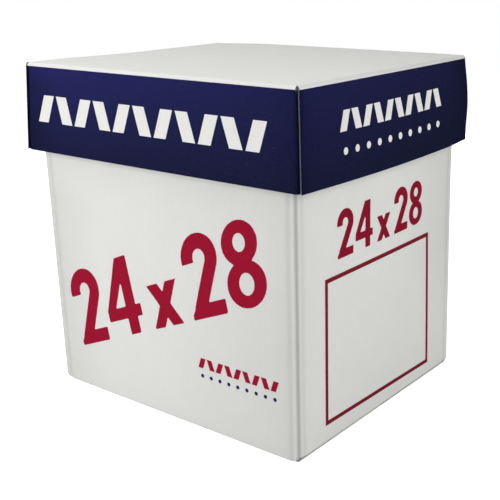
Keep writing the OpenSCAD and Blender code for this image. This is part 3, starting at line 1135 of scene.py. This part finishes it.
def white_floor(half, albedo, lift):
    """A floor that looks white where it is lit and keeps the object's shadow."""
    mesh = bpy.data.meshes.new("floor")
    corners = [(-half, -half, 0), (half, -half, 0), (half, half, 0), (-half, half, 0)]
    mesh.from_pydata(corners, [], [(0, 1, 2, 3)])
    floor = bpy.data.objects.new("floor", mesh)
    bpy.context.scene.collection.objects.link(floor)
    floor.location.z = -0.05 * MM
    material = bpy.data.materials.new("floor")
    material.use_nodes = True
    tree = material.node_tree
    tree.nodes.remove(tree.nodes["Principled BSDF"])
    diffuse = tree.nodes.new("ShaderNodeBsdfDiffuse")
    diffuse.inputs["Color"].default_value = (albedo, albedo, albedo, 1.0)
    glow = tree.nodes.new("ShaderNodeEmission")
    glow.inputs["Strength"].default_value = lift
    both = tree.nodes.new("ShaderNodeAddShader")
    tree.links.new(diffuse.outputs[0], both.inputs[0])
    tree.links.new(glow.outputs[0], both.inputs[1])
    result = camera_only(tree, both.outputs[0], diffuse.outputs[0])
    tree.links.new(result, tree.nodes["Material Output"].inputs["Surface"])
    mesh.materials.append(material)


def softbox(name, azimuth, elevation, distance, size, level, target):
    """A square lamp that lights a surface facing it, at the target, to the given level."""
    data = bpy.data.lights.new(name, "AREA")
    data.shape = "SQUARE"
    data.size = size
    data.energy = level * math.pi ** 2 * distance ** 2
    lamp = bpy.data.objects.new(name, data)
    bpy.context.scene.collection.objects.link(lamp)
    az, el = math.radians(azimuth), math.radians(elevation)
    back = Vector((math.sin(az) * math.cos(el), -math.cos(az) * math.cos(el), math.sin(el)))
    lamp.location = Vector(target) + back * distance
    lamp.rotation_mode = "QUATERNION"
    lamp.rotation_quaternion = (-back).to_track_quat("-Z", "Y")


def photo_camera():
    """The photograph's viewpoint, from a fit to the carton's and the lid's edges."""
    azimuth, elevation, roll = math.radians(36.93), math.radians(18.01), math.radians(-0.75)
    distance, across, above = 0.8891, 0.0447, -0.0264
    focal, centre_x, centre_y, frame_w = 917.2, 300, 255, 500
    aim = Vector((0, 0, 0.15))
    back = Vector((math.sin(azimuth) * math.cos(elevation), -math.cos(azimuth) * math.cos(elevation),
                   math.sin(elevation)))
    level = Vector((math.cos(azimuth), math.sin(azimuth), 0))
    upright = back.cross(level)
    right = math.cos(roll) * level + math.sin(roll) * upright
    up = -math.sin(roll) * level + math.cos(roll) * upright
    data = bpy.data.cameras.new("camera")
    data.sensor_width = 36
    data.lens = data.sensor_width * focal / frame_w
    data.shift_x = (frame_w / 2 - centre_x) / frame_w
    data.shift_y = (centre_y - frame_w / 2) / frame_w
    camera = bpy.data.objects.new("camera", data)
    bpy.context.scene.collection.objects.link(camera)
    place = aim + back * distance + right * across + up * above
    camera.matrix_world = Matrix((right, up, back)).transposed().to_4x4()
    camera.location = place
    bpy.context.scene.camera = camera


# Softboxes: name, azimuth and elevation in degrees, distance, size, level and target
SOFTBOXES = [
    ("left_softbox", -20, 20, 1.1, 0.7, 0.45, (0, 0, 0.17)),
    ("right_softbox", 85, 20, 1.1, 0.7, 0.38, (0, 0, 0.17)),
    ("top_softbox", -80, 60, 1.2, 0.9, 0.36, (0, 0, 0.3)),
    ("back_softbox", 205, 8, 1.3, 0.9, 0.3, (0, 0, 0.15)),
    ("top_front_softbox", -20, 70, 0.8, 0.6, 0.13, (-0.05, -0.1, 0.31)),
]


def studio():
    photo_camera()
    bpy.context.scene.view_settings.view_transform = "Standard"
    white_world(0.4)
    white_floor(12.0, 0.85, 0.66)
    for box in SOFTBOXES:
        softbox(*box)


WHITE = srgb(219, 219, 216)
LID_WHITE = srgb(222, 222, 219)
CORE = srgb(188, 186, 182)
LID_CORE = srgb(142, 147, 163)
NAVY = srgb(36, 38, 89)
RED = srgb(147, 22, 47)
SIDE_RED = srgb(130, 23, 43)
FRAME_RED = srgb(116, 30, 42)
PAPER = srgb(238, 238, 236)


def board_pieces():
    """The carton and the lid, with their print all over."""
    inner = white_liner("inner_liner", scaled(WHITE, 0.94))
    carton_inks = [white_liner("white_liner", WHITE, wall_painted_shade), inner, board_core("board_core", CORE)]
    mesh = corrugated("carton_board", carton_lines(), carton_place, carton_crush, carton_painted_shade, carton_kept,
                      [plain(0), plain(1), plain(2), plain(2)])
    make_object("carton_board", mesh, carton_inks, "carton", "carton")
    lid_inks = [white_liner("lid_white", LID_WHITE, top_painted_shade), inner, board_core("lid_core", LID_CORE),
                printed_liner("navy_print", NAVY, WHITE, painted_light=lid_painted_light)]
    mesh = corrugated("lid_board", lid_lines(), lid_place, lid_crush, lid_painted_shade, lid_kept,
                      [lid_finish, inked_left_end(1), inked_left_end(2), plain(3)])
    make_object("lid_board", mesh, lid_inks, "lid", "lid")


def paper_pieces():
    """The stack, and the top sheet that lies on it."""
    paper = paper_surface("form_paper", PAPER)
    mesh = paper_mesh("form_stack", lambda x, y: PAPER_LOW.z, lambda x, y: PAPER_HIGH.z - dip(x) - STACK_DROP)
    make_object("form_stack", mesh, [paper], "carton", "paper_stack")
    mesh = paper_mesh("top_sheet", top_sheet_height, lambda x, y: top_sheet_height(x, y) + SHEET_T)
    make_object("top_sheet", mesh, [paper], "carton")


def printed_marks():
    """The numerals, the frame, the strips of paper and the rows of holes."""
    red = printed_liner("red_print", RED, WHITE, gloss=0.6)
    side_red = printed_liner("dark_red_print", SIDE_RED, WHITE, gloss=0.6)
    frame_red = printed_liner("frame_print", FRAME_RED, WHITE, gloss=0.6)
    navy = printed_liner("navy_mark", NAVY, WHITE, gloss=0.6)
    white = printed_liner("white_mark", WHITE, WHITE, gloss=0.7)
    tilt, lean = math.radians(22), math.radians(10)
    rise = np.array([[math.cos(tilt), -math.sin(tilt)], [math.sin(tilt), math.cos(tilt)]])
    slant = np.array([[1.0, math.tan(lean)], [0.0, 1.0]])
    sloping, upright = rise @ slant @ np.diag([1.05, 1.0]), np.eye(2)
    frame_corners = MM * np.array([(-86.2, 22.0), (81.5, 18.0), (77.5, 149), (-86.2, 149.5)])
    outline_marks = [
        ("right_frame", "carton", on_right, (0, 0), frame_red, frame_outlines(frame_corners, 3.9 * MM)),
        ("lid_front_strip", "lid", on_lid_front, (-6, 272), white, fan_fold_strip(11, 24 * MM, 24 * MM)),
        ("lid_right_strip", "lid", on_lid_right, (-1, 269.5), white, strip_and_holes(10, 16 * MM)),
        ("front_strip", "carton", on_front, (82, 65), red, fan_fold_strip(9, 10 * MM, 9.5 * MM)),
        ("front_holes", "carton", on_front, (82, 53), navy, hole_row(9, 10 * MM)),
    ]
    print_mark("front_numerals", "carton", on_front, (-5, 125.5), sloping, red,
               lambda work: numeral_plan(work, 72 * MM, 1.2 * MM))
    print_mark("right_numerals", "carton", on_right, (-2, 184.5), upright, side_red,
               lambda work: numeral_plan(work, 41 * MM, 0.8 * MM))
    for name, body, on_wall, centre, ink, outlines in outline_marks:
        print_mark(name, body, on_wall, centre, upright, ink, lambda work: outline_plan(work, outlines))


studio()
board_pieces()
paper_pieces()
printed_marks()
